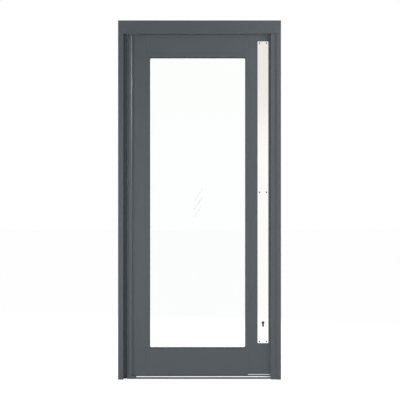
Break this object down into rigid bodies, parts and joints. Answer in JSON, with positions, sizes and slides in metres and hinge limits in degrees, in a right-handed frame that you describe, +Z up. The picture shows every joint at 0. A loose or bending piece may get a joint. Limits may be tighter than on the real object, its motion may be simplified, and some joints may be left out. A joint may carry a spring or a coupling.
{
  "type": "commercial entrance door",
  "caption": "Glazed single-leaf commercial entrance door in its frame: double-action leaf on a round finger-safe pivot tube, full-height push plates, keyed deadbolt and metal threshold.",
  "frame": {"origin": "middle of the frame's foot: halfway between the jambs' outer faces, middle of the frame's depth, floor level", "axes": "+X towards the lock side, -Y towards the outside (the face seen), +Z up"},
  "size_m": [1, 0.115, 2.205],
  "materials": {
    "frame_coat": "fine-textured satin powder coat",
    "leaf_coat": "fine-textured satin powder coat",
    "guard_rubber": "matt black extruded rubber",
    "seal_rubber": "matt dark rubber",
    "mill_aluminium": "satin anodised, lines along the length",
    "stainless": "bright, finely brushed along the length",
    "dark_steel": "blackened steel",
    "zinc_steel": "zinc plated",
    "black_plastic": "moulded black",
    "brush_pile": "dense woven-in pile",
    "clear_glass": "clear float glass"
  },
  "bodies": {
    "frame": {"frame_head": "frame_coat", "head_cap_left": "frame_coat", "head_cap_right": "frame_coat", "hinge_jamb": "frame_coat", "finger_guard": "guard_rubber", "lock_jamb": "frame_coat", "strike_plate": "stainless", "strike_screw_lower": "zinc_steel", "strike_screw_upper": "zinc_steel", "threshold": "mill_aluminium", "threshold_screw_1": "zinc_steel", "threshold_screw_2": "zinc_steel", "bottom_pivot_block": "leaf_coat", "bottom_pivot_pin": "zinc_steel", "closer_body": "zinc_steel"},
    "leaf": {"pivot_tube": "leaf_coat", "hinge_stile": "leaf_coat", "lock_stile": "leaf_coat", "top_rail": "leaf_coat", "bottom_rail": "leaf_coat", "bead_hinge_side": "leaf_coat", "bead_lock_side": "leaf_coat", "bead_top": "leaf_coat", "bead_bottom": "leaf_coat", "gasket_outer": "seal_rubber", "gasket_inner": "seal_rubber", "wear_strip": "mill_aluminium", "push_plate_outer": "stainless", "push_plate_inner": "stainless", "lock_forend": "stainless", "cylinder_body": "dark_steel", "plate_screw_outer_1": "dark_steel", "plate_screw_outer_2": "dark_steel", "plate_screw_outer_3": "dark_steel", "plate_screw_outer_4": "dark_steel", "plate_screw_outer_5": "dark_steel", "plate_screw_outer_6": "dark_steel", "plate_screw_inner_1": "dark_steel", "plate_screw_inner_2": "dark_steel", "plate_screw_inner_3": "dark_steel", "plate_screw_inner_4": "dark_steel", "plate_screw_inner_5": "dark_steel", "plate_screw_inner_6": "dark_steel", "closer_spindle": "zinc_steel", "top_bush": "zinc_steel", "lock_case": "zinc_steel", "cylinder_screw": "zinc_steel", "bottom_bush": "black_plastic", "glass_spacer": "black_plastic", "setting_block_1": "black_plastic", "setting_block_2": "black_plastic", "top_brush": "brush_pile", "bottom_brush": "brush_pile", "edge_brush": "brush_pile", "glass_outer_pane": "clear_glass", "glass_inner_pane": "clear_glass"},
    "bolt": {"deadbolt": "zinc_steel"},
    "cylinder_rotor": {"cylinder_plug": "dark_steel", "cylinder_cam": "zinc_steel", "thumbturn": "stainless"}
  },
  "joints": [
    {"name": "leaf_swing", "type": "hinge", "parent": "frame", "child": "leaf", "pos_m": [-0.43, 0, 0.02], "axis": [0, 0, 1], "range_deg": [-90, 90], "stiffness_Nm_per_rad": 30},
    {"name": "lock_turn", "type": "hinge", "parent": "leaf", "child": "cylinder_rotor", "pos_m": [0.3915, 0, 0.346], "axis": [0, 1, 0], "range_deg": [0, 360]},
    {"name": "bolt_slide", "type": "slide", "parent": "leaf", "child": "bolt", "axis": [1, 0, 0], "range_m": [0, 0.02]}
  ],
  "couplings": [
    {"joint": "lock_turn", "follows": "bolt_slide", "rad_per_m": 314.16}
  ]
}
